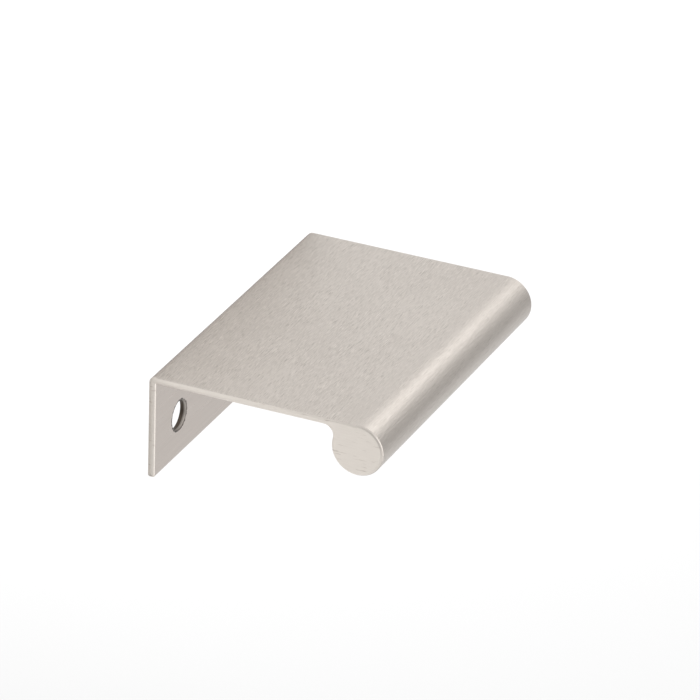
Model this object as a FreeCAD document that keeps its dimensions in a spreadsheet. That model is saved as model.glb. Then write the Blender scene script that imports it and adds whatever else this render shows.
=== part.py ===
import FreeCAD, Part
import math
import os

import Sketcher

# Tab pull for the edge of a door or a drawer front. It is one piece, a length cut
# from an extruded bar: a thin plate reaches forward, a round bead along the front of
# the plate is the grip, and a flange turned down at the back takes two screws.
#
# X runs along the pull, the bead faces -Y and Z is up. The origin is the middle of
# the two screw holes, on the back face of the flange.

# Driving sizes in millimetres: name in the sheet, value, what it measures.
SIZES = [
    ("pull_length", 50.0, "length of bar, end to end"),
    ("pull_depth", 34.0, "back face of the flange to the front of the bead"),
    ("flange_height", 15.0, "top face of the plate to the lower edge of the flange"),
    ("plate_thickness", 1.0, "plate, top face to underside"),
    ("flange_thickness", 1.0, "flange, back face to inner face"),
    ("bead_diameter", 7.4, "round bead along the front, level with the top face"),
    ("bead_hollow_radius", 1.5, "hollow between the underside and the bead"),
    ("back_corner_radius", 1.0, "outer corner between top face and back face"),
    ("flange_edge_radius", 0.3, "both long lower edges of the flange"),
    ("hole_spacing", 35.0, "between the centres of the two screw holes"),
    ("hole_drop", 9.0, "top face of the plate down to the hole centres"),
    ("hole_diameter", 4.3, "clear hole for a 4 mm pan head screw"),
    ("hole_edge_break", 0.2, "chamfer round both rims of each hole"),
    ("end_edge_break", 0.2, "chamfer round the outline of both cut ends"),
]

# Geometry that lies closer than this is taken to touch, in millimetres.
TOUCH = 0.001

# A sketch's own axes, as its constraints number them.
AXIS = {"across": -1, "up": -2}


# A constraint takes a point as a curve's number with 1, 2 or 3 for the curve's
# start, end or centre. A sketch's origin is the start of its own axis.
def start(curve):
    return (curve, 1)


def end(curve):
    return (curve, 2)


def centre(curve):
    return (curve, 3)


ORIGIN = start(AXIS["across"])


def make_sheet(doc):
    sheet = doc.addObject("Spreadsheet::Sheet", "Sizes")
    for row, (alias, value, meaning) in enumerate(SIZES, start=1):
        sheet.set("A%d" % row, alias)
        sheet.set("B%d" % row, str(value))
        sheet.set("C%d" % row, meaning)
        sheet.setAlias("B%d" % row, alias)
    doc.recompute()
    return sheet


def add_sketch(body, name, plane_role):
    plane = next(f for f in body.Origin.OriginFeatures if f.Role == plane_role)
    sketch = body.newObject("Sketcher::SketchObject", name)
    sketch.AttachmentSupport = [(plane, "")]
    sketch.MapMode = "FlatFace"
    return sketch


def add_dimension(sketch, name, constraint, expression):
    sketch.renameConstraint(sketch.addConstraint(constraint), name)
    sketch.setExpression("Constraints." + name, expression)


def point(across, up):
    return FreeCAD.Vector(across, up, 0)


def circle(middle, radius):
    return Part.Circle(middle, FreeCAD.Vector(0, 0, 1), radius)


def arc(middle, radius, start_angle, end_angle):
    return Part.ArcOfCircle(circle(middle, radius), start_angle, end_angle)


# The bar's section, seen from +X: across the sketch is Y and up the sketch is Z.
# It is drawn at its final size first, so that the constraints only hold it there.
def draw_section(body, sheet):
    top = sheet.hole_drop
    underside = top - sheet.plate_thickness
    bottom = top - sheet.flange_height
    inner_face = -sheet.flange_thickness
    corner_radius = sheet.back_corner_radius
    bead_radius = sheet.bead_diameter / 2
    bead_centre = point(bead_radius - sheet.pull_depth, top - bead_radius)

    # The hollow touches the underside and the bead, so its centre is one radius
    # below the first and both radii away from the centre of the second.
    hollow_radius = sheet.bead_hollow_radius
    rise = underside - hollow_radius - bead_centre.y
    reach = math.sqrt((bead_radius + hollow_radius) ** 2 - rise ** 2)
    hollow_centre = bead_centre + point(reach, rise)
    meeting_angle = math.atan2(rise, reach)

    sketch = add_sketch(body, "Section", "YZ_Plane")
    up = math.pi / 2
    turn = 2 * math.pi
    inner_corner = point(inner_face, underside)
    inner_foot = point(inner_face, bottom)
    back_foot = point(0, bottom)
    back_top = point(0, top - corner_radius)
    top_back = point(-corner_radius, top)
    hollow_start = point(hollow_centre.x, underside)

    top_line = sketch.addGeometry(Part.LineSegment(top_back, point(bead_centre.x, top)))
    bead = sketch.addGeometry(arc(bead_centre, bead_radius, up, meeting_angle + turn))
    hollow = sketch.addGeometry(arc(hollow_centre, hollow_radius, up, meeting_angle + turn / 2))
    under_line = sketch.addGeometry(Part.LineSegment(hollow_start, inner_corner))
    inner_line = sketch.addGeometry(Part.LineSegment(inner_corner, inner_foot))
    foot_line = sketch.addGeometry(Part.LineSegment(inner_foot, back_foot))
    back_line = sketch.addGeometry(Part.LineSegment(back_foot, back_top))
    corner_centre = point(-corner_radius, top - corner_radius)
    corner = sketch.addGeometry(arc(corner_centre, corner_radius, 0, up))

    # Smooth joints along the rounded outline, then the square ones of the flange.
    sketch.addConstraint([
        Sketcher.Constraint("Tangent", *end(top_line), *start(bead)),
        Sketcher.Constraint("Tangent", *end(bead), *end(hollow)),
        Sketcher.Constraint("Tangent", *start(hollow), *start(under_line)),
        Sketcher.Constraint("Tangent", *end(back_line), *start(corner)),
        Sketcher.Constraint("Tangent", *end(corner), *start(top_line)),
        Sketcher.Constraint("Coincident", *end(under_line), *start(inner_line)),
        Sketcher.Constraint("Coincident", *end(inner_line), *start(foot_line)),
        Sketcher.Constraint("Coincident", *end(foot_line), *start(back_line)),
        Sketcher.Constraint("Horizontal", top_line),
        Sketcher.Constraint("Horizontal", under_line),
        Sketcher.Constraint("Horizontal", foot_line),
        Sketcher.Constraint("Vertical", inner_line),
        Sketcher.Constraint("Vertical", back_line),
        Sketcher.Constraint("PointOnObject", *start(back_line), AXIS["up"]),
    ])

    def length(name, kind, first, second, distance, expression):
        constraint = Sketcher.Constraint(kind, *first, *second, distance)
        add_dimension(sketch, name, constraint, expression)

    def radius(name, curve, value, expression):
        add_dimension(sketch, name, Sketcher.Constraint("Radius", curve, value), expression)

    length("top_above_holes", "DistanceY", ORIGIN, start(top_line), top, "Sizes.hole_drop")
    length("flange_height", "DistanceY", start(back_line), start(top_line),
           sheet.flange_height, "Sizes.flange_height")
    length("plate_thickness", "DistanceY", end(under_line), start(top_line),
           sheet.plate_thickness, "Sizes.plate_thickness")
    length("flange_thickness", "DistanceX", start(inner_line), ORIGIN,
           sheet.flange_thickness, "Sizes.flange_thickness")
    length("bead_centre_depth", "DistanceX", centre(bead), ORIGIN,
           -bead_centre.x, "Sizes.pull_depth - Sizes.bead_diameter / 2")
    radius("bead_radius", bead, bead_radius, "Sizes.bead_diameter / 2")
    radius("hollow_radius", hollow, hollow_radius, "Sizes.bead_hollow_radius")
    radius("corner_radius", corner, corner_radius, "Sizes.back_corner_radius")
    return sketch


# Two holes level with the origin, half the spacing to either side of it.
def draw_holes(body, sheet):
    hole_radius = sheet.hole_diameter / 2
    half_spacing = sheet.hole_spacing / 2
    sketch = add_sketch(body, "HoleCentres", "XZ_Plane")
    left = sketch.addGeometry(circle(point(-half_spacing, 0), hole_radius))
    right = sketch.addGeometry(circle(point(half_spacing, 0), hole_radius))
    sketch.addConstraint([
        Sketcher.Constraint("PointOnObject", *centre(left), AXIS["across"]),
        Sketcher.Constraint("Symmetric", *centre(left), *centre(right), *ORIGIN),
        Sketcher.Constraint("Equal", left, right),
    ])
    spacing = Sketcher.Constraint("DistanceX", *centre(left), *centre(right), sheet.hole_spacing)
    add_dimension(sketch, "hole_spacing", spacing, "Sizes.hole_spacing")
    across = Sketcher.Constraint("Diameter", left, sheet.hole_diameter)
    add_dimension(sketch, "hole_diameter", across, "Sizes.hole_diameter")
    return sketch


def edges_where(feature, wanted):
    edges = enumerate(feature.Shape.Edges, start=1)
    return (feature, ["Edge%d" % number for number, edge in edges if wanted(edge)])


def flange_foot_edge(sheet):
    foot = sheet.hole_drop - sheet.flange_height

    def wanted(edge):
        box = edge.BoundBox
        along_bar = box.XLength > sheet.pull_length - TOUCH
        return along_bar and abs(box.ZMax - foot) < TOUCH

    return wanted


def hole_rim(sheet):
    def wanted(edge):
        if not isinstance(edge.Curve, Part.Circle):
            return False
        along_y = abs(edge.Curve.Axis.y) > 1 - TOUCH
        return along_y and abs(edge.Curve.Radius - sheet.hole_diameter / 2) < TOUCH

    return wanted


def cut_end_edge(sheet):
    def wanted(edge):
        box = edge.BoundBox
        at_end = abs(abs(box.Center.x) - sheet.pull_length / 2) < TOUCH
        return at_end and box.XLength < TOUCH

    return wanted


def make_tab_pull(doc, sheet):
    body = doc.addObject("PartDesign::Body", "TabPull")
    body.Label = "tab_pull"
    body.Placement = FreeCAD.Placement()

    bar = body.newObject("PartDesign::Pad", "Bar")
    bar.Profile = draw_section(body, sheet)
    bar.SideType = "Symmetric"
    bar.setExpression("Length", "Sizes.pull_length")
    doc.recompute()

    flange_edges = body.newObject("PartDesign::Fillet", "FlangeEdges")
    flange_edges.Base = edges_where(bar, flange_foot_edge(sheet))
    flange_edges.setExpression("Radius", "Sizes.flange_edge_radius")
    doc.recompute()

    # The holes stop at the inner face of the flange: the bead lies in line with
    # them further forward and stays whole.
    holes = body.newObject("PartDesign::Hole", "ScrewHoles")
    holes.Profile = draw_holes(body, sheet)
    doc.recompute()
    holes.Reversed = True
    holes.DepthType = "Dimension"
    holes.DrillPoint = "Flat"
    holes.setExpression("Depth", "Sizes.flange_thickness")
    holes.setExpression("Diameter", "Sizes.hole_diameter")
    doc.recompute()

    hole_rims = body.newObject("PartDesign::Chamfer", "HoleRims")
    hole_rims.Base = edges_where(holes, hole_rim(sheet))
    hole_rims.setExpression("Size", "Sizes.hole_edge_break")
    doc.recompute()

    cut_ends = body.newObject("PartDesign::Chamfer", "CutEnds")
    cut_ends.Base = edges_where(hole_rims, cut_end_edge(sheet))
    cut_ends.setExpression("Size", "Sizes.end_edge_break")
    body.Tip = cut_ends
    doc.recompute()

    drilled = 2 * math.pi * (sheet.hole_diameter / 2) ** 2 * sheet.flange_thickness
    removed = flange_edges.Shape.Volume - holes.Shape.Volume
    if abs(removed - drilled) > TOUCH:
        raise RuntimeError("the screw holes took %.3f mm3, not %.3f" % (removed, drilled))
    return body


def check(doc, bodies):
    for item in doc.Objects:
        if "Invalid" in item.State or "Error" in item.State:
            raise RuntimeError("%s failed: %s" % (item.Name, item.State))
    for body in bodies:
        if body.Shape.isNull() or not body.Shape.isValid() or len(body.Shape.Solids) != 1:
            raise RuntimeError("%s is not one valid solid" % body.Label)


def main():
    doc = FreeCAD.newDocument("TabPull")
    sheet = make_sheet(doc)
    bodies = [make_tab_pull(doc, sheet)]
    check(doc, bodies)
    os.makedirs("parts", exist_ok=True)
    for body in bodies:
        body.Shape.exportStep("parts/%s.step" % body.Label)
        box = body.Shape.BoundBox
        print("%s: %.1f x %.1f x %.1f mm, %.1f mm3"
              % (body.Label, box.XLength, box.YLength, box.ZLength, body.Shape.Volume))


main()
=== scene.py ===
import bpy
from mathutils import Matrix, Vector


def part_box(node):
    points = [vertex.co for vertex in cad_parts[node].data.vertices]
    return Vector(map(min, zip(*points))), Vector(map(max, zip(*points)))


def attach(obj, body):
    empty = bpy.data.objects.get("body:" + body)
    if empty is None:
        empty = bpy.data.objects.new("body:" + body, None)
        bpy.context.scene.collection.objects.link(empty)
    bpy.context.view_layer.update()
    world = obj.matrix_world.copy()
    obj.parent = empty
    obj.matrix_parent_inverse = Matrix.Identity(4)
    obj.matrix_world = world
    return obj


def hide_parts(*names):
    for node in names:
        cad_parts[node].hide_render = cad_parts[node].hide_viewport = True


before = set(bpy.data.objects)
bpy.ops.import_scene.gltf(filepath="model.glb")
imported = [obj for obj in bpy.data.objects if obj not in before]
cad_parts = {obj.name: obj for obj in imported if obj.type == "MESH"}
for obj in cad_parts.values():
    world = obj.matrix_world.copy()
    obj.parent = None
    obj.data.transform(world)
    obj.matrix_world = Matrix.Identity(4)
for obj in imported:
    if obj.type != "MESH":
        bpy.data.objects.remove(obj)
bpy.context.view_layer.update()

from math import cos, degrees, pi, radians, sin, sqrt, tan

import bmesh
import bpy
from mathutils import Matrix, Vector

scene = bpy.context.scene
mm = 0.001  # every size below is in millimetres, every object in metres


def toLinear(hexColour):
    # sRGB hex, as a colour picker gives it, turned to the linear numbers that the nodes take
    parts = [int(hexColour[i:i + 2], 16) / 255 for i in (1, 3, 5)]
    return [c / 12.92 if c <= 0.04045 else ((c + 0.055) / 1.055) ** 2.4 for c in parts] + [1.0]


def addNode(tree, kind, inputs=None, **settings):
    # one node with its settings, its input values and its links
    node = tree.nodes.new(kind)
    for name, value in settings.items():
        setattr(node, name, value)
    for name, value in (inputs or {}).items():
        if isinstance(value, bpy.types.NodeSocket):
            tree.links.new(value, node.inputs[name])
        else:
            node.inputs[name].default_value = value
    return node


def newMaterial(name):
    material = bpy.data.materials.new(name)
    material.use_nodes = True
    material.node_tree.nodes.clear()
    return material, material.node_tree


def newObject(name, mesh):
    thing = bpy.data.objects.new(name, mesh)
    scene.collection.objects.link(thing)
    return thing


print("helpers ready")


# camera: where the photograph was taken from, a long lens about 0.79 m away
cameraView = {
    "location": (-640.58, -297.68, 359.10),
    "lookAt": (3.94, -16.20, 3.70),
    "roll": 1.837,              # degrees, right side up
    "lens": 299.4,              # focal length, and the width of the sensor it goes with
    "sensor": 36.0,
    "nearest": 50.0,            # what is nearer than this or farther than that isn't drawn
    "farthest": 20000.0,
}


def makeCamera(view):
    camera = bpy.data.objects.new("camera", bpy.data.cameras.new("camera"))
    scene.collection.objects.link(camera)
    place = Vector(view["location"]) * mm
    aim = (Vector(view["lookAt"]) * mm - place).to_track_quat("-Z", "Y").to_matrix()
    turn = aim @ Matrix.Rotation(radians(view["roll"]), 3, "Z")
    camera.matrix_world = Matrix.Translation(place) @ turn.to_4x4()
    camera.data.lens = view["lens"]
    camera.data.sensor_width = view["sensor"]
    camera.data.clip_start = view["nearest"] * mm
    camera.data.clip_end = view["farthest"] * mm
    scene.camera = camera


makeCamera(cameraView)
print("camera placed")


# the bar: one length of extruded section, its ends cut and broken, two screw holes drilled
barSize = {
    "plate": 1.0,               # thickness of the top plate
    "flange": 1.0,              # thickness of the screw flange
    "beadDiameter": 7.4,        # the round grip along the front
    "hollowRadius": 1.5,        # inside curve where the plate runs into the bead
    "backCorner": 1.0,          # outside radius where plate and flange meet
    "footRadius": 0.3,          # long edges of the flange foot
    # each cut end, from its side inwards: width and tilt of the broken edge, then of the
    # slight roll-off that linishing leaves inside it
    "endEdge": ((0.11, 50.0), (0.26, 18.0)),
    "holeDiameter": 4.3,        # clear for a 4 mm screw
    "holeSpacing": 35.0,        # between the middles of the two holes
    "holeBreak": 0.06,          # radius that the inner rim of each hole is rounded to
    "backBreak": 0.25,          # and the back rim, where the drill broke out
    "rimTurn": 70.0,            # degrees that those radii turn through
    "drillOver": 0.2,           # how far the cutter reaches out of the flange's two faces
    "pad": 0.25,                # rows of faces this far from each curve keep the flats flat
    "beadSteps": 288,           # faces round the bead
    "curveSteps": 16,           # faces round the other curves of the section
    "edgeSteps": 7,             # faces across the rim of a hole
    "holeSteps": 72,            # faces round a hole
    "sharpAngle": 15.0,         # faces that meet at more than this show a sharp edge
}

barSize["endDepth"] = sum(width * tan(radians(tilt)) for width, tilt in barSize["endEdge"])


def arc(centre, radius, first, last, steps):
    turns = [radians(first + (last - first) * i / steps) for i in range(steps + 1)]
    return [(centre[0] + radius * cos(t), centre[1] + radius * sin(t)) for t in turns]


def outline(size, low, high, inset):
    # the section as (y, z) points, drawn the same way round at any inset
    foot, top, front, back = low.z, high.z, low.y, high.y
    r, pad = size["footRadius"], size["pad"]
    beadRadius = size["beadDiameter"] / 2
    bead = (front + beadRadius, top - beadRadius)
    under = top - size["plate"]
    inner = back - size["flange"]
    # the hollow touches both the bead and the underside of the plate
    reach = beadRadius + size["hollowRadius"]
    drop = under - size["hollowRadius"] - bead[1]
    hollow = (bead[0] + sqrt(reach ** 2 - drop ** 2), bead[1] + drop)
    meet = degrees(Vector((1, 0)).angle(Vector((hollow[0] - bead[0], drop))))
    corner = (back - size["backCorner"], top - size["backCorner"])
    steps = size["curveSteps"]

    points = arc((back - r, foot + r), r - inset, 0, -90, steps // 2)
    points += arc((inner + r, foot + r), r - inset, -90, -180, steps // 2)
    points += [(inner + inset, foot + r + pad), (inner + inset, under - pad)]
    points += [(inner + inset, under + inset), (inner - pad, under + inset)]
    points += [(hollow[0] + pad, under + inset)]
    points += arc(hollow, size["hollowRadius"] + inset, 90, 180 + meet, steps)
    points += arc(bead, beadRadius - inset, meet, -270, size["beadSteps"])[1:]
    points += [(bead[0] + pad, top - inset), (corner[0] - pad, top - inset)]
    points += arc(corner, size["backCorner"] - inset, 90, 0, steps)
    points += [(back - inset, corner[1] - pad), (back - inset, foot + r + pad)]
    return points


def makeBar(size, low, high):
    # rings of the section from end to end, tilting in over the edge of each cut end
    end = [(high.x, sum(width for width, tilt in size["endEdge"]))]
    for width, tilt in size["endEdge"][::-1]:
        x, inset = end[-1]
        end.append((x - width * tan(radians(tilt)), inset - width))
    end.append((end[-1][0] - size["pad"], 0))
    rings = [(-x, inset) for x, inset in end] + end[::-1]
    bm = bmesh.new()
    loops = []
    for x, inset in rings:
        section = outline(size, low, high, inset)
        loops.append([bm.verts.new((x, y, z)) for y, z in section])
    for one, two in zip(loops, loops[1:]):
        for i in range(len(one)):
            j = (i + 1) % len(one)
            bm.faces.new((one[i], one[j], two[j], two[i]))
    bm.faces.new(loops[0][::-1])
    bm.faces.new(loops[-1])
    bmesh.ops.recalc_face_normals(bm, faces=bm.faces)
    return bm


def makeDrill(size, x, inner, back):
    # a turned cutter: straight through the flange and flared at both faces
    stop = radians(size["rimTurn"])
    over = size["drillOver"]
    turns = [stop * i / size["edgeSteps"] for i in range(size["edgeSteps"] + 1)]
    flares = []
    for rim in (size["holeBreak"], size["backBreak"]):
        radius = size["holeDiameter"] / 2 + rim
        flare = [(radius - rim * cos(t), rim * (sin(stop) - sin(t))) for t in turns]
        flares.append(flare + [(flare[-1][0] + over * tan(stop), -over)])
    profile = [(r, inner + depth) for r, depth in flares[0][::-1]]
    profile += [(r, back - depth) for r, depth in flares[1]]
    bm = bmesh.new()
    loops = []
    for i in range(size["holeSteps"]):
        t = 2 * pi * i / size["holeSteps"]
        loops.append([bm.verts.new((x + r * cos(t), y, r * sin(t))) for r, y in profile])
    for one, two in zip(loops, loops[1:] + loops[:1]):
        for i in range(len(profile) - 1):
            bm.faces.new((one[i], one[i + 1], two[i + 1], two[i]))
    bm.faces.new([loop[0] for loop in loops])
    bm.faces.new([loop[-1] for loop in loops])
    bmesh.ops.recalc_face_normals(bm, faces=bm.faces)
    return bm


def toMesh(bm, name):
    bmesh.ops.scale(bm, vec=(mm, mm, mm), verts=bm.verts)
    mesh = bpy.data.meshes.new(name)
    bm.to_mesh(mesh)
    bm.free()
    return mesh


def makeTabPull(size):
    low, high = (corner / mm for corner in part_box("tab_pull"))
    bar = newObject("tabPullBar", toMesh(makeBar(size, low, high), "tabPullBar"))
    drills = []
    for side in (-1, 1):
        bm = makeDrill(size, side * size["holeSpacing"] / 2, high.y - size["flange"], high.y)
        drill = newObject("drill", toMesh(bm, "drill"))
        cut = bar.modifiers.new("screwHole", "BOOLEAN")
        cut.object = drill
        cut.operation = "DIFFERENCE"
        cut.solver = "EXACT"
        drills.append(drill)
    bpy.context.view_layer.update()
    cutBar = bar.evaluated_get(bpy.context.evaluated_depsgraph_get())
    bar.data = bpy.data.meshes.new_from_object(cutBar)
    bar.modifiers.clear()
    for drill in drills:
        bpy.data.objects.remove(drill)
    for face in bar.data.polygons:
        face.use_smooth = True
    bar.data.set_sharp_from_angle(angle=radians(size["sharpAngle"]))
    even = bar.modifiers.new("evenFlats", "WEIGHTED_NORMAL")
    even.keep_sharp = True
    return bar


# anodised aluminium in a satin nickel colour, brushed along its length on a belt before it
# was anodised: to the eye the grain is fine and soft, and light runs out into long bands
brushedLook = {
    "deepColour": "#c3bcb5",    # floors of the grain
    "paleColour": "#cec7c0",    # crests of the grain
    # the grain is a sum of layers, strokes, bundles of strokes and slow changes of tone: cell
    # in mm along x, y and z, share in the tone, and depth in mm. Real strokes are about 0.03
    # wide, too fine to show: they are drawn about four times as wide, and deeper than real
    "layers": (
        ((1.1, 0.11, 0.11), 1.0, 0.0080),
        ((2.0, 0.28, 0.28), 0.35, 0.0400),
        ((14.0, 9.0, 9.0), 0.3, 0.0),
    ),
    "contrast": 5.0,            # how hard the strokes stand off each other
    # single strokes that stand out, deep ones and bright ones: colour, cell, and the noise
    # values at which they start and are full
    "marks": (
        ("#ada69f", (1.9, 0.12, 0.12), 0.58, 0.68),
        ("#dad3cc", (1.6, 0.11, 0.11), 0.61, 0.70),
    ),
    # the belt bites unevenly, so single strokes come in patches: cell of the patches, and how
    # much they shift those values
    "patches": ((7.0, 3.0, 3.0), 0.2),
    # how the finish changes from front to back: colour laid over, the places in y where it
    # starts and is full, and its share there. The belt wraps over the bead with less
    # pressure, and the grain is calmer there
    "fades": (("#c9c2bb", -27.0, -31.5, 0.5),),
    "roughness": 0.36,
    "roughnessRange": 0.015,    # floors of the grain are this much rougher, crests smoother
    "anisotropy": 0.55,         # how far highlights spread across the strokes
}

# the same metal inside and at the back, anodised straight from the extrusion and never
# brushed: light lies on it as an even satin sheen, with only faint die lines
satinLook = {
    "deepColour": "#c9c0b9",
    "paleColour": "#cfc6bf",
    # die lines are 0.1 to 0.3 wide and run far along the bar
    "layers": (((12.0, 0.11, 0.11), 1.0, 0.0003), ((30.0, 0.35, 0.35), 0.35, 0.0001)),
    "contrast": 2.0,
    "marks": (),
    "rim": {                    # painted shade: a dark, ragged ring on the flange round each hole
        "colour": "#3a342f",
        "ends": 0.44,           # how far out from the rim it ends
        "whole": 0.32,          # and how far out it still covers all
        "chips": 0.4,           # size of the notches along its edge
        "bite": 0.5,            # how far they cut into it at most
    },
    "fades": (),
    "roughness": 0.30,
    "roughnessRange": 0.04,
    "anisotropy": 0.0,
}

# the same metal at the ends, sawn to length and linished: bare, so a little paler, and its
# colour is lifted further as painted light, for the brighter light that the ends catch; plain
# but for faint lines across and a few short saw marks
cutLook = {
    # paler partly as bare metal, partly as painted light on the ends
    "deepColour": "#ddd6ce",
    "paleColour": "#e0d9d1",
    # lines of a 120 grit belt are about 0.1 wide, drawn a little wider to show
    "layers": (((2.5, 2.5, 0.16), 1.0, 0.0003),),
    "contrast": 2.5,
    "marks": (("#c3bab1", (2.2, 2.2, 0.2), 0.64, 0.72),),
    "fades": (),
    "roughness": 0.32,
    "roughnessRange": 0.04,
    "anisotropy": 0.0,
}

# the same metal in the holes, turned by the drill: fine rings, and painted shade that darkens
# the wall towards the back
drilledLook = {
    "deepColour": "#a8a19a",
    "paleColour": "#ccc5be",
    # the rings are 0.12 apart, as far as the drill goes in at each turn
    "layers": (((6.0, 0.12, 6.0), 1.0, 0.0020),),
    "contrast": 3.0,
    "marks": (),
    # painted shade: the hole's wall darkens towards the back of the flange
    "fades": (("#4f4740", -0.80, -0.55, 1.0),),
    "roughness": 0.40,
    "roughnessRange": 0.10,
    "anisotropy": 0.0,
}

# the noise that every grain is drawn with, its cells set by the looks above
grainNoise = {"Scale": 1.0, "Detail": 2.0, "Roughness": 0.55}
noiseMiddle = 0.5               # a noise's values lie round this one


def distanceToHole(tree, parts):
    # from the line through the middle of the nearer hole, plus what a point lies in front of
    # the flange, so that the painted shade round the holes stays on the flange and off the bead
    aside = addNode(tree, "ShaderNodeMath", {0: parts["X"]}, operation="ABSOLUTE")
    aside = addNode(tree, "ShaderNodeMath", {
        0: aside.outputs[0], 1: barSize["holeSpacing"] / 2 * mm}, operation="SUBTRACT")
    before = addNode(tree, "ShaderNodeMath", {
        0: -barSize["flange"] * mm, 1: parts["Y"]}, operation="SUBTRACT", use_clamp=True)
    toHole = addNode(tree, "ShaderNodeCombineXYZ", {
        "X": aside.outputs[0], "Y": before.outputs[0], "Z": parts["Z"]})
    length = addNode(tree, "ShaderNodeVectorMath", {0: toHole.outputs[0]}, operation="LENGTH")
    return length.outputs["Value"]


def makeAluminium(name, look):
    # the layers add up to one grain, and the tone, the roughness and the bump all follow it
    material, tree = newMaterial(name)
    place = addNode(tree, "ShaderNodeTexCoord").outputs["Object"]
    parts = addNode(tree, "ShaderNodeSeparateXYZ", {0: place}).outputs

    # one noise for each layer, then one for each mark, and the patches last
    cells = [layer[0] for layer in look["layers"]] + [mark[1] for mark in look["marks"]]
    if "patches" in look:
        cells.append(look["patches"][0])
    patterns = []
    for cell in cells:
        scaled = addNode(tree, "ShaderNodeVectorMath", {
            0: place, 1: [1 / (size * mm) for size in cell]}, operation="MULTIPLY")
        noise = addNode(tree, "ShaderNodeTexNoise", {"Vector": scaled.outputs[0], **grainNoise})
        patterns.append(noise.outputs["Fac"])

    grain = height = 0.0
    for pattern, (cell, share, depth) in zip(patterns, look["layers"]):
        grain = addNode(tree, "ShaderNodeMath", {
            0: pattern, 1: share, 2: grain}, operation="MULTIPLY_ADD").outputs[0]
        height = addNode(tree, "ShaderNodeMath", {
            0: pattern, 1: depth, 2: height}, operation="MULTIPLY_ADD").outputs[0]
    middle = noiseMiddle * sum(share for cell, share, depth in look["layers"])
    spread = 0.5 / look["contrast"]
    tone = addNode(tree, "ShaderNodeMapRange", {
        "Value": grain, "From Min": middle - spread, "From Max": middle + spread})
    # a Mix node's two colours are its inputs 6 and 7, and their blend is its output 2
    blended = addNode(tree, "ShaderNodeMix", {
        "Factor": tone.outputs["Result"], 6: toLinear(look["deepColour"]),
        7: toLinear(look["paleColour"])}, data_type="RGBA")

    # the marks, the fades and the painted shade round the holes are colours laid over: the value
    # that each one follows, its colour, where it starts, where it is full, and its share there
    covers = []
    for pattern, (colour, cell, start, full) in zip(patterns[len(look["layers"]):], look["marks"]):
        if "patches" in look:
            shift = look["patches"][1]
            pattern = addNode(tree, "ShaderNodeMath", {
                0: patterns[-1], 1: shift, 2: pattern}, operation="MULTIPLY_ADD").outputs[0]
            start += shift * noiseMiddle
            full += shift * noiseMiddle
        covers.append((pattern, colour, start, full, 1.0))
    for colour, start, full, most in look["fades"]:
        covers.append((parts["Y"], colour, start * mm, full * mm, most))
    # painted shade: a dark, ragged ring laid over the flange round each hole's rim
    if "rim" in look:
        rimShade = look["rim"]
        rim = barSize["holeDiameter"] / 2 + barSize["holeBreak"]
        chips = addNode(tree, "ShaderNodeTexNoise", {
            "Vector": place, "Scale": 1 / (rimShade["chips"] * mm)})
        ragged = addNode(tree, "ShaderNodeMath", {
            0: chips.outputs["Fac"], 1: rimShade["bite"] * mm, 2: distanceToHole(tree, parts)},
            operation="MULTIPLY_ADD")
        covers.append((ragged.outputs[0], rimShade["colour"], (rim + rimShade["ends"]) * mm,
            (rim + rimShade["whole"]) * mm, 1.0))
    for value, colour, start, full, most in covers:
        share = addNode(tree, "ShaderNodeMapRange", {
            "Value": value, "From Min": start, "From Max": full, "To Max": most})
        blended = addNode(tree, "ShaderNodeMix", {
            "Factor": share.outputs["Result"], 6: blended.outputs[2],
            7: toLinear(colour)}, data_type="RGBA")

    roughness = addNode(tree, "ShaderNodeMapRange", {
        "Value": tone.outputs["Result"], "To Min": look["roughness"] + look["roughnessRange"],
        "To Max": look["roughness"] - look["roughnessRange"]})
    bump = addNode(tree, "ShaderNodeBump", {
        "Height": height, "Strength": 1.0, "Distance": mm})
    across = addNode(tree, "ShaderNodeTangent", direction_type="RADIAL", axis="X")
    surface = addNode(tree, "ShaderNodeBsdfPrincipled", {
        "Base Color": blended.outputs[2], "Metallic": 1.0,
        "Roughness": roughness.outputs["Result"], "Anisotropic": look["anisotropy"],
        "Tangent": across.outputs[0], "Normal": bump.outputs[0]})
    addNode(tree, "ShaderNodeOutputMaterial", {"Surface": surface.outputs[0]})
    return material


def dressTabPull(bar, size):
    # outside brushed, inside and back left satin, cut ends linished, hole walls turned
    for name, look in (
        ("brushedAnodisedAluminium", brushedLook),
        ("satinAnodisedAluminium", satinLook),
        ("linishedAluminium", cutLook),
        ("drilledAluminium", drilledLook),
    ):
        bar.data.materials.append(makeAluminium(name, look))
    brushed, satin, linished, drilled = range(4)
    low, high = (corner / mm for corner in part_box("tab_pull"))
    holeReach = size["holeDiameter"] / 2 + size["backBreak"]
    cutFrom = high.x - size["endDepth"]
    beadMiddle = low.y + size["beadDiameter"] / 2
    cornerFrom = high.y - size["backCorner"]
    skinFrom = high.z - size["plate"] / 2
    flangeFace = 0.99           # a normal with this much of y is that of the flange's flats
    cutFace = 0.8               # this much of x: the cut end and its roll-off
    for face in bar.data.polygons:
        middle = face.center / mm
        toHole = Vector((abs(middle.x) - size["holeSpacing"] / 2, middle.z)).length
        atEnd = abs(middle.x) > cutFrom
        onTop = middle.z > skinFrom and middle.y < cornerFrom
        if toHole < holeReach and abs(face.normal.y) < flangeFace:
            face.material_index = drilled
        elif atEnd and abs(face.normal.x) > cutFace:
            face.material_index = linished
        elif onTop or middle.y < beadMiddle:
            face.material_index = brushed
        elif atEnd:
            face.material_index = linished
        else:
            face.material_index = satin


tabPull = makeTabPull(barSize)
dressTabPull(tabPull, barSize)
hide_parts("tab_pull")
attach(tabPull, "root")
print("tab pull made:", len(tabPull.data.polygons), "faces")


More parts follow.
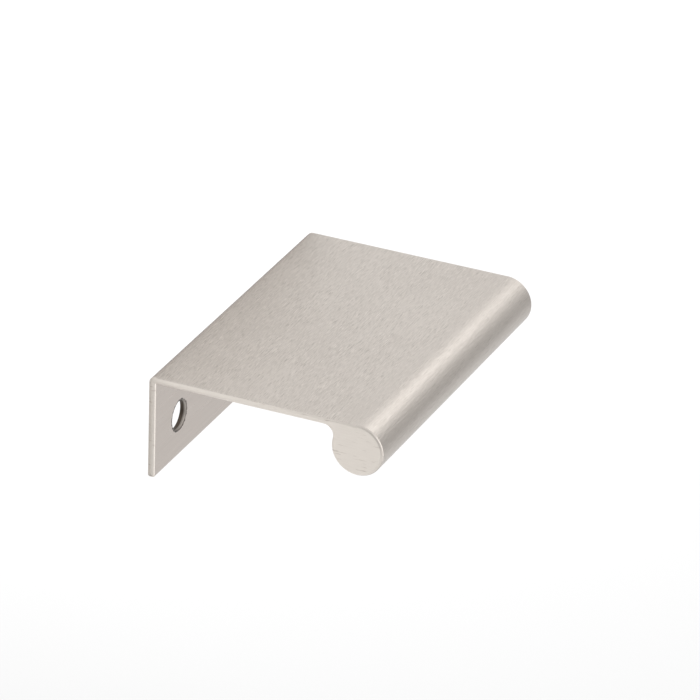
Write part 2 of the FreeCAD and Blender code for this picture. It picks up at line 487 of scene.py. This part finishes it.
# studio: a pale round table well below the part, in a pale room
studio = {
    "tableRadius": 880.0,
    "tableSides": 128,
    "tableDrop": 300.0,         # below the part, so that its shadow falls outside the picture
    "tableColour": "#e3e3e3",
    "roomLow": 0.57,            # brightness of the room up to the first height
    "roomHigh": 1.10,           # and from the second height up
    "roomHeights": (0.10, 0.50),    # 0 is level, 1 is straight up
}
# two soft lamps light the part, and a third one lights the table only
farLamp = {
    "place": (300.0, -185.0, 400.0),
    "aim": (0.0, -17.0, 4.0),
    "size": (320.0, 350.0),
    "power": 0.33,              # watts, as for the other two
}
nearLamp = {
    "place": (-235.0, -480.0, 20.0),
    "aim": (0.0, -17.0, 4.0),
    "size": (340.0, 560.0),
    "power": 0.7,
}
tableLamp = {
    "place": (900.0, 900.0, 600.0),
    "aim": (640.0, 330.0, -300.0),
    "spread": 36.0,             # degrees across its cone of light
    "bulb": 50.0,
    "power": 24.0,
}
# a white card close behind the part, for the metal to reflect: only reflections see it, so
# that the back of the part stays in sight, and it casts no shadow
whiteCard = {
    "gap": 0.1,                 # between the card and the part
    "lap": 0.2,                 # how far it reaches in behind the ends and the foot
    "topLap": 0.4,              # and behind the round back corner
    # its colour this far out from the part, darker close by, where the part shades it
    "tones": ((0.0, "#dddddd"), (2.5, "#f0f0f0"), (9.0, "#f9f9f9")),
    # its outer corners in x and z: one side slants, so that the bead's end shows the darker
    # room instead
    "corners": ((-350.0, -350.0), (350.0, -350.0), (350.0, 350.0), (-75.0, 35.0)),
}


def makeTable(setting):
    bm = bmesh.new()
    bmesh.ops.create_circle(
        bm, cap_ends=True, radius=setting["tableRadius"], segments=setting["tableSides"])
    bmesh.ops.translate(bm, vec=(0, 0, -setting["tableDrop"]), verts=bm.verts)
    table = newObject("floor", toMesh(bm, "floor"))
    material, tree = newMaterial("paleTable")
    matt = addNode(tree, "ShaderNodeBsdfDiffuse", {"Color": toLinear(setting["tableColour"])})
    addNode(tree, "ShaderNodeOutputMaterial", {"Surface": matt.outputs[0]})
    table.data.materials.append(material)


def makeRoom(setting):
    world = bpy.data.worlds.new("paleRoom")
    scene.world = world
    world.use_nodes = True
    tree = world.node_tree
    tree.nodes.clear()
    way = addNode(tree, "ShaderNodeTexCoord").outputs["Generated"]
    up = addNode(tree, "ShaderNodeSeparateXYZ", {0: way}).outputs["Z"]
    first, second = setting["roomHeights"]
    level = addNode(tree, "ShaderNodeMapRange", {
        "Value": up, "From Min": first, "From Max": second,
        "To Min": setting["roomLow"], "To Max": setting["roomHigh"]})
    sky = addNode(tree, "ShaderNodeBackground", {
        "Color": (1, 1, 1, 1), "Strength": level.outputs["Result"]})
    addNode(tree, "ShaderNodeOutputWorld", {"Surface": sky.outputs[0]})


def makeLamp(name, kind, setting):
    lamp = bpy.data.objects.new(name, bpy.data.lights.new(name, kind))
    scene.collection.objects.link(lamp)
    place = Vector(setting["place"])
    lamp.location = place * mm
    lamp.rotation_euler = (Vector(setting["aim"]) - place).to_track_quat("-Z", "Y").to_euler()
    lamp.data.energy = setting["power"]
    return lamp


def makeSoftLamp(name, setting):
    lamp = makeLamp(name, "AREA", setting)
    lamp.data.shape = "RECTANGLE"
    lamp.data.size = setting["size"][0] * mm
    lamp.data.size_y = setting["size"][1] * mm
    lamp.visible_camera = False


def makeTableLamp(setting):
    # whitens the table behind the part, and leaves the part alone
    lamp = makeLamp("tableLamp", "SPOT", setting)
    lamp.data.spot_size = radians(setting["spread"])
    lamp.data.spot_blend = 1.0
    lamp.data.shadow_soft_size = setting["bulb"] * mm


def makeWhiteCard(setting):
    # open behind the flange's flat back, so that this sees the room
    low, high = (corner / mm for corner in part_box("tab_pull"))
    y, end = high.y + setting["gap"], high.x - setting["lap"]
    foot, top = low.z + setting["lap"], high.z - setting["topLap"]
    opening = ((-end, foot), (end, foot), (end, top), (-end, top))
    bm = bmesh.new()
    loops = []
    for corners in (opening, setting["corners"]):
        loops.append([bm.verts.new((x, y, z)) for x, z in corners])
    for i in range(len(opening)):
        j = (i + 1) % len(opening)
        bm.faces.new((loops[0][i], loops[0][j], loops[1][j], loops[1][i]))
    card = newObject("whiteCard", toMesh(bm, "whiteCard"))

    # its tone follows how far a point lies out from the part, sideways or up and down
    material, tree = newMaterial("whiteCard")
    place = addNode(tree, "ShaderNodeTexCoord").outputs["Object"]
    parts = addNode(tree, "ShaderNodeSeparateXYZ", {0: place}).outputs
    ways = []
    for axis, first, last in (("X", low.x, high.x), ("Z", low.z, high.z)):
        off = addNode(tree, "ShaderNodeMath", {
            0: parts[axis], 1: (first + last) / 2 * mm}, operation="SUBTRACT")
        off = addNode(tree, "ShaderNodeMath", {0: off.outputs[0]}, operation="ABSOLUTE")
        off = addNode(tree, "ShaderNodeMath", {
            0: off.outputs[0], 1: (last - first) / 2 * mm}, operation="SUBTRACT")
        ways.append(off.outputs[0])
    away = addNode(tree, "ShaderNodeMath", {0: ways[0], 1: ways[1]}, operation="MAXIMUM")
    reach = setting["tones"][-1][0]
    share = addNode(tree, "ShaderNodeMath", {
        0: away.outputs[0], 1: reach * mm}, operation="DIVIDE")
    ramp = addNode(tree, "ShaderNodeValToRGB", {"Fac": share.outputs[0]})
    stops = ramp.color_ramp.elements
    for i, (distance, colour) in enumerate(setting["tones"]):
        stop = stops[i] if i < len(stops) else stops.new(1.0)   # a new ramp has two stops
        stop.position = distance / reach
        stop.color = toLinear(colour)
    matt = addNode(tree, "ShaderNodeBsdfDiffuse", {"Color": ramp.outputs["Color"]})
    addNode(tree, "ShaderNodeOutputMaterial", {"Surface": matt.outputs[0]})
    card.data.materials.append(material)
    card.visible_camera = card.visible_shadow = card.visible_diffuse = False


makeTable(studio)
makeRoom(studio)
makeSoftLamp("farLamp", farLamp)
makeSoftLamp("nearLamp", nearLamp)
makeTableLamp(tableLamp)
makeWhiteCard(whiteCard)
scene.view_settings.view_transform = "Standard"
print("studio ready")
